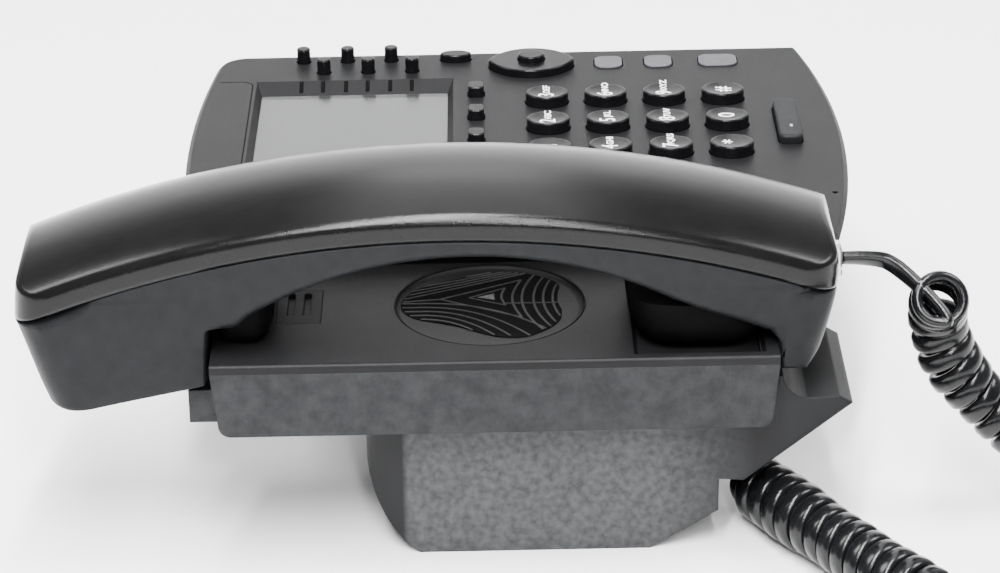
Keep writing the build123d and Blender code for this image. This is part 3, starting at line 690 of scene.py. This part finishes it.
def lower_side():
    """Side view of the lower shell in millimetres: (Y, Z), and how much its long edges are rounded."""
    under = [
        (-81.5, 67.6),
        (-81.0, 65.0),
        (-79.5, 58.8),
        (-77.6, 52.4),
        (-75.6, 49.9),
        (-67.6, 50.0),
        (-67.0, 57.8),
        (-65.0, 59.8),
        (-58.3, 62.6),
        (-50.0, 65.2),
    ]
    arch = arc_points((-41.3, 68.9), (9.0, 81.0), (60.8, 66.4), 44)
    ear = [
        (63.6, 63.6),
        (70.7, 63.2),
        (71.5, 48.4),
        (76.4, 47.3),
        (110.4, 41.9),
        (112.8, 48.5),
        (115.9, 59.0),
        (117.1, 63.0),
    ]
    points = under + arch + ear
    rounds = {1: 3, 2: 3, 3: 2, 4: 1.6, 5: 0.7, 6: 1.5, 8: 6, 9: 6}
    first_ear = len(under) + len(arch)
    for step, radius in {0: 2.5, 1: 1.0, 2: 0.8, 4: 2, 5: 3, 6: 3}.items():
        rounds[first_ear + step] = radius
    outline = round_corners(points, rounds)
    # The seam closes the side view, from the ear's end back to the mouth's.
    axis_y, axis_z, seam_r = AXIS_Y / MM, AXIS_Z / MM, SEAM_R / MM
    ear_angle = math.asin((117.8 - axis_y) / seam_r)
    mouth_angle = math.asin((-81.6 - axis_y) / seam_r)
    seam_steps = 60
    for step in range(seam_steps + 1):
        angle = ear_angle + (mouth_angle - ear_angle) * step / seam_steps
        outline.append((axis_y + seam_r * math.sin(angle), axis_z + seam_r * math.cos(angle)))
    softness = []
    for y, z in outline:
        at_seam = math.hypot(y - axis_y, z - axis_z) > seam_r - 0.5
        arched = -66 < y < 66
        softness.append(0.12 if at_seam else (1.0 if arched else 0.4))
    return outline, softness


# Cups under the ends of the handset, in millimetres: centre along Y, then half length, half width
# and height of each level.
CUPS = {
    "mouth_cup": (
        -48.6,
        ((12.5, 17.0, 54.5), (14.6, 18.8, 55.0), (16.2, 20.0, 56.8), (17.4, 20.8, 60.0), (18.2, 21.2, 66.5)),
    ),
    "ear_cup": (
        62.8,
        ((5.0, 16.0, 57.2), (6.4, 17.8, 57.8), (7.2, 18.8, 60.0), (7.6, 19.2, 62.5), (7.8, 19.5, 66.5)),
    ),
}


def make_lower_shell(materials):
    """Lower shell: its side view carried across the handset, with rounded long edges."""
    outline, softness = lower_side()
    count = len(outline)
    normals = []
    for index in range(count):
        before = Vector(outline[index - 1])
        after = Vector(outline[(index + 1) % count])
        along = (after - before).normalized()
        normals.append(Vector((-along.y, along.x)))
    # Places across the handset: fine over its rounded long edges, then over its rounded ends.
    soft_r = 2.6
    half = handset_half / MM
    columns = [-half + soft_r * (1 - math.cos(math.pi / 2 * k / 6)) for k in range(7)]
    columns += [-half + soft_r + (END_CORNER / MM - soft_r) * k / 6 for k in range(1, 7)]
    columns += [-x for x in reversed(columns)]
    verts = []
    for x in columns:
        past = max(0.0, abs(x) - (half - soft_r))
        inset = soft_r - math.sqrt(max(0.0, soft_r**2 - past**2))
        retreat = end_retreat(x * MM) / MM
        for (y, z), normal, soft in zip(outline, normals, softness):
            place_y = y + normal.x * inset * soft
            place_z = z + normal.y * inset * soft
            ear_share = min(1.0, max(0.0, (y - 98) / 10))
            mouth_share = min(1.0, max(0.0, (-74 - y) / 4))
            place_y -= retreat * ear_share - retreat * mouth_share
            verts.append(Vector((handset_x + x * MM, place_y * MM, place_z * MM)))
    faces = ring_faces(len(columns), count)
    last = (len(columns) - 1) * count
    rim = [Vector((verts[index].y, verts[index].z, 0)) for index in range(count)]
    for triangle in tessellate_polygon([rim]):
        faces.append(tuple(triangle))
        faces.append(tuple(last + index for index in reversed(triangle)))
    shell = close_mesh(mesh_piece("handset_body", verts, faces), join=0)
    shell.data.set_sharp_from_angle(angle=math.radians(38))
    shell.data.materials.append(materials["handset_bottom"])
    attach(shell, "handset")
    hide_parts("handset_lower_shell")
    for name, (centre_y, levels) in CUPS.items():
        # The cups take the near-black material as painted shade: the shadow under the handset's ends.
        make_cup(name, centre_y, levels, materials["dark"])


def make_cup(name, centre_y, levels, material, around=64):
    """A shallow bowl under one end of the handset."""
    verts = []
    for half_y, half_x, z in levels:
        for k in range(around):
            angle = 2 * math.pi * k / around
            x = bulge(math.cos(angle), 0.55) * half_x
            y = centre_y + bulge(math.sin(angle), 0.55) * half_y
            verts.append(Vector((handset_x + x * MM, y * MM, z * MM)))
    faces = ring_faces(len(levels), around) + end_faces(len(levels), around)
    cup = close_mesh(mesh_piece(name, verts, faces))
    cup.data.set_sharp_from_angle(angle=math.radians(50))
    cup.data.materials.append(material)
    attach(cup, "handset")


# ------------------------------------------------------------------ loudspeaker grille
# In millimetres; heights in the dish are measured from the cradle's floor.
DISH = Vector((-61.4, 2.6, 56.4))
DISH_R = 23.6
LINING_THICK = 0.05
LEAF_TOP = -1.15
LEAF_THICK = 0.12
RIB_HEIGHT = LEAF_TOP + 0.06


def dish_point(along, across, z=RIB_HEIGHT):
    """A place in the dish: along towards the user end, across towards the keys."""
    return Vector(((DISH.x + across) * MM, (DISH.y - along) * MM, (DISH.z + z) * MM))


def grille_outline():
    """Outline of the perforated area: a leaf with its tip at the display end and a waisted tail."""
    corners = (
        (-22.2, 3.4),
        (-21.0, 7.2),
        (-18.4, 11.4),
        (-11.2, 15.9),
        (-1.2, 20.2),
        (3.7, 21.0),
        (8.4, 20.2),
        (12.2, 18.3),
        (15.9, 15.3),
        (17.5, 12.2),
        (17.0, 7.8),
        (17.0, 2.2),
        (17.8, -2.0),
        (17.4, -7.1),
        (15.4, -11.2),
        (11.2, -15.4),
        (7.2, -17.2),
        (1.9, -16.6),
        (-2.7, -14.0),
        (-7.8, -10.5),
        (-13.9, -7.7),
        (-19.0, -5.2),
        (-21.7, -1.2),
    )
    outline = []
    count = len(corners)
    for k in range(count):
        a, b, c, d = (corners[(k + shift) % count] for shift in (-1, 0, 1, 2))
        for t in (0, 0.25, 0.5, 0.75):
            outline.append(
                tuple(
                    b[i] + 0.5 * t * (c[i] - a[i] + t * (2 * a[i] - 5 * b[i] + 4 * c[i] - d[i]))
                    + 0.5 * t**3 * (3 * (b[i] - c[i]) + d[i] - a[i])
                    for i in (0, 1)
                )
            )
    return outline


def inside_outline(along, across, outline):
    """Whether a place lies inside a closed outline."""
    inside = False
    for (a0, b0), (a1, b1) in zip(outline, outline[1:] + outline[:1]):
        if (b0 > across) != (b1 > across) and along < a0 + (across - b0) * (a1 - a0) / (b1 - b0):
            inside = not inside
    return inside


def wave(t):
    """Half a sine wave over t from 0 to 1."""
    return math.sin(math.pi * t)


def bowed(first, last, bow, count=24):
    """A line from first to last that bulges sideways along the long axis by bow."""
    return [
        (
            first[0] + (last[0] - first[0]) * t + bow * wave(t),
            first[1] + (last[1] - first[1]) * t,
        )
        for t in np.linspace(0, 1, count)
    ]


def rib_lines():
    """The ribs of the grille, each a list of places in the dish: a stem and two nested triangles,
    four curved ribs across, two fans towards the tip, and the line across the curved ribs."""
    lines = [bowed((-24.2, 3.7), (-12.4, 5.2), 0)]
    for corner, high, low, bow in (
        ((-12.4, 5.2), (7.9, 15.8), (7.9, -6.1), -2.3),
        ((-5.2, 5.7), (3.9, 11.2), (3.9, 1.1), -1.0),
    ):
        lines += [bowed(corner, high, 0), bowed(corner, low, 0), bowed(high, low, bow)]
    for start in (8.0, 10.9, 13.3, 15.7):
        lines.append([(start + 0.016 * (across - 4.5) ** 2, across) for across in np.linspace(-18, 22, 50)])
    tip = -24.5
    for step in range(7):
        fan = bowed((tip, 4.3 + 1.85 * step), (12.5 - 2.6 * step, 21.5), 0, 60)
        lines.append([(a + 0.6 * wave((a - tip) / 37), b) for a, b in fan])
    for step in range(5):
        bend = 1 + 0.5 * step
        line = []
        for along in np.linspace(tip, 15, 60):
            past = max(0.0, along + 17)
            line.append((along, 3.0 - 2.3 * step - bend * (0.012 * past**2 + 0.00015 * past**3)))
        lines.append(line)
    lines.append(bowed((4.0, 2.2), (18.2, 2.2), 0))
    return lines


# The dish's lining: share of its radius and height of each ring, from its middle to its rim.
DISH_RINGS = (
    (0.0, -1.29),
    (0.925, -1.27),
    (0.945, -1.2),
    (0.963, -0.98),
    (0.98, -0.6),
    (0.992, -0.22),
    (1.0, 0.01),
    (1.012, 0.04),
)


def make_dish_lining(materials, around=96):
    """A smooth thin lining over the dish of the cradle's floor."""
    rings = DISH_RINGS + tuple((share, z - LINING_THICK) for share, z in reversed(DISH_RINGS))
    verts = []
    for share, z in rings:
        for k in range(around):
            angle = 2 * math.pi * k / around
            verts.append(dish_point(DISH_R * share * math.cos(angle), DISH_R * share * math.sin(angle), z))
    lining = close_mesh(mesh_piece("dish_lining", verts, ring_faces(len(rings), around)))
    lining.data.materials.append(materials["face"])
    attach(lining, "base")


def make_grille(materials):
    """Near-black leaf-shaped sheet, painted shade for the dark seen through the grille's slots, with
    fingerprint-like ribs over it.
    """
    outline = grille_outline()
    count = len(outline)
    levels = (LEAF_TOP - LEAF_THICK, LEAF_TOP)
    verts = [dish_point(along, across, z) for z in levels for along, across in outline]
    faces = end_faces(2, count) + ring_faces(2, count)
    leaf = mesh_piece("grille_leaf", verts, faces, smooth=False)
    # Painted shade: the sheet's near-black stands for the dark seen through the slots.
    leaf.data.materials.append(materials["dark"])
    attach(leaf, "base")
    ribs = []
    outside = (99, 99)
    for line in rib_lines():
        run = []
        for along, across in line + [outside]:
            if inside_outline(along, across, outline):
                run.append(dish_point(along, across))
                continue
            if len(run) > 2:
                ribs.append(tube_mesh("rib", run, 0.32 * MM, 0.1 * MM))
            run = []
    # The innermost triangle is solid.
    solid = [dish_point(-3.3, 5.8), dish_point(1.3, 4.0), dish_point(1.1, 8.0)]
    solid += [point + Vector((0, 0, 0.12 * MM)) for point in solid]
    faces = [(2, 1, 0), (3, 4, 5), (0, 1, 4, 3), (1, 2, 5, 4), (2, 0, 3, 5)]
    ribs.append(mesh_piece("rib", solid, faces, smooth=False))
    join_pieces(ribs, "grille_ribs", materials["rib"], "base")


def join_pieces(parts, name, material, body):
    """Several small meshes as one piece."""
    verts = []
    faces = []
    for part in parts:
        start = len(verts)
        verts += [part.matrix_world @ vertex.co for vertex in part.data.vertices]
        faces += [tuple(start + index for index in face.vertices) for face in part.data.polygons]
        mesh = part.data
        bpy.data.objects.remove(part)
        bpy.data.meshes.remove(mesh)
    piece = mesh_piece(name, verts, faces)
    piece.data.set_sharp_from_angle(angle=math.radians(40))
    piece.data.materials.append(material)
    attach(piece, body)
    return piece


# ------------------------------------------------------------------ printed marks
KEY_LETTERS = {
    "2": "ABC",
    "3": "DEF",
    "4": "GHI",
    "5": "JKL",
    "6": "MNO",
    "7": "PQRS",
    "8": "TUV",
    "9": "WXYZ",
}
KEY_SIGNS = {"star": "*", "hash": "#"}
DIGIT_SIZE = 6.2
LETTER_SIZE = 2.6
KEY_BOWL_R = 26 * MM
KEY_BOWL_DEPTH = 0.4 * MM


def text_mesh(words, size, x, y, top, bowl=None):
    """Words as a thin mesh centred on a place; bowl, the middle of a dished key, bends them into it."""
    data = bpy.data.curves.new("words", "FONT")
    data.body = words
    data.size = size * MM
    data.align_x = "CENTER"
    data.align_y = "CENTER"
    data.extrude = 0.03 * MM
    data.offset = 0.06 * MM
    shown = bpy.data.objects.new("words", data)
    mesh = bpy.data.meshes.new_from_object(shown)
    bpy.data.objects.remove(shown)
    bpy.data.curves.remove(data)
    for vertex in mesh.vertices:
        vertex.co += Vector((x, y, top))
        if bowl:
            reach = (vertex.co.x - bowl[0]) ** 2 + (vertex.co.y - bowl[1]) ** 2
            vertex.co.z += reach / (2 * KEY_BOWL_R)
    piece = bpy.data.objects.new("words", mesh)
    bpy.context.scene.collection.objects.link(piece)
    return piece


def make_key_marks(materials):
    """Digits and dial letters on the dial keys, plus and minus at the rocker."""
    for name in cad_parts:
        if not name.startswith("dial_key_"):
            continue
        label = name.rsplit("_", 1)[1]
        low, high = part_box(name)
        x, y = (low.x + high.x) / 2, (low.y + high.y) / 2
        top = high.z - KEY_BOWL_DEPTH
        if label in KEY_LETTERS:
            words = [
                text_mesh(label, DIGIT_SIZE, x - 1.9 * MM, y, top, bowl=(x, y)),
                text_mesh(KEY_LETTERS[label], LETTER_SIZE, x + 2.1 * MM, y, top, bowl=(x, y)),
            ]
        else:
            words = [text_mesh(KEY_SIGNS.get(label, label), DIGIT_SIZE, x, y, top, bowl=(x, y))]
        join_pieces(words, f"mark_{label}", materials["ink"], name)
    low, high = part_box("volume_rocker")
    y = (low.y + high.y) / 2
    plus = text_mesh("+", 6.0, high.x + 3.2 * MM, y, face_z + 0.05 * MM)
    join_pieces([plus], "mark_plus", materials["grey_ink"], "base")
    minus = text_mesh("-", 6.0, low.x + 7.0 * MM, y, high.z)
    join_pieces([minus], "mark_minus", materials["grey_ink"], "volume_rocker")


def make_face_marks(materials):
    """Index marks beside the display and the fine line of the panel next to it."""
    marks = []
    for y in (55.0, 48.9, 42.4, 36.3, 29.9, 23.8):
        start = Vector((71.2 * MM, y * MM, 60.85 * MM))
        end = Vector((75.6 * MM, y * MM, 62.25 * MM))
        marks.append(tube_mesh("mark", [start, (start + end) / 2, end], 0.55 * MM, 0.12 * MM))
    join_pieces(marks, "index_marks", materials["dark"], "base")
    bend = 3.5
    quarter = np.linspace(0, math.pi / 2, 10)
    path = [(76.4, 78.0), (76.4, 72.2)]
    path += [(72.9 + bend * math.cos(a), 72.2 - bend * math.sin(a)) for a in quarter]
    path += [(20.0, 68.7), (2.0, 68.7)]
    path += [(2.0 - bend * math.sin(a), 72.2 - bend * math.cos(a)) for a in quarter]
    path += [(-1.5, 78.6)]
    line = [Vector((x * MM, y * MM, face_z)) for x, y in path]
    seam = tube_mesh("panel_line", line, 0.16 * MM, 0.05 * MM)
    seam.data.materials.append(materials["dark"])
    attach(seam, "base")


# ------------------------------------------------------------------ floor and light
# Area lights: name, place, two sizes, power and the place they look at.
LIGHTS = (
    ("strip_high", (-0.5, 0.1, 1.15), 0.07, 1.3, 60, (0, 0, 0.05)),
    ("strip_low", (-0.98, -0.1, 0.98), 0.05, 1.2, 30, (0, 0, 0.05)),
    ("side_left", (0.1, 1.3, 1.6), 0.9, 0.9, 48, (0, 0, 0.05)),
    ("side_right", (0.1, -1.3, 1.6), 0.9, 0.9, 52, (0, 0, 0.05)),
    ("sweep_light", (1.1, 0.0, 1.3), 0.5, 2.5, 16, (1.3, 0, 0)),
)
# The floor in metres: where it starts, where it bends up, how far the bend reaches, its top and half width.
FLOOR_START = -2.5
FLOOR_BEND = 1.2
BEND_R = 0.8
FLOOR_TOP = 2.5
FLOOR_HALF = 4


def make_floor(materials):
    """A pale floor that curves up behind."""
    profile = [(FLOOR_START, 0.0), (FLOOR_BEND, 0.0)]
    for step in range(1, 13):
        angle = math.pi / 2 * step / 12
        profile.append((FLOOR_BEND + BEND_R * math.sin(angle), BEND_R * (1 - math.cos(angle))))
    profile.append((FLOOR_BEND + BEND_R, FLOOR_TOP))
    verts = [(x, side, z) for x, z in profile for side in (-FLOOR_HALF, FLOOR_HALF)]
    faces = [(2 * k, 2 * k + 2, 2 * k + 3, 2 * k + 1) for k in range(len(profile) - 1)]
    floor = mesh_piece("floor", verts, faces)
    floor.data.materials.append(materials["floor"])


def make_surround():
    """A white surround, dimmer high up and on the handset's side."""
    world = bpy.data.worlds.new("surround")
    world.use_nodes = True
    tree = world.node_tree
    place = tree.nodes.new("ShaderNodeTexCoord")
    axes = add_axes(tree, place.outputs["Generated"])
    height_fade = add_range(tree, axes["Z"], 0.5, 0.28, 0.05, 0.75)
    side_fade = add_range(tree, axes["X"], 0.3, 1.6, -0.45, 0.6)
    both = add_product(tree, height_fade, side_fade)
    tree.links.new(both, tree.nodes["Background"].inputs["Strength"])
    tree.nodes["Background"].inputs["Color"].default_value = (1, 1, 1, 1)
    bpy.context.scene.world = world


def make_lights():
    """Two narrow strips over the handset's side, two soft lights at the ends and one on the sweep."""
    for name, place, size_x, size_y, power, aim in LIGHTS:
        data = bpy.data.lights.new(name, "AREA")
        data.shape = "RECTANGLE"
        data.size = size_x
        data.size_y = size_y
        data.energy = power
        light = bpy.data.objects.new(name, data)
        light.location = place
        light.rotation_euler = (Vector(aim) - Vector(place)).to_track_quat("-Z", "Y").to_euler()
        bpy.context.scene.collection.objects.link(light)


make_camera()
materials = make_materials()
make_cord(materials)
dress_nodes(materials)
make_upper_shell(materials)
make_lower_shell(materials)
make_dish_lining(materials)
make_grille(materials)
make_key_marks(materials)
make_face_marks(materials)
make_floor(materials)
make_surround()
make_lights()
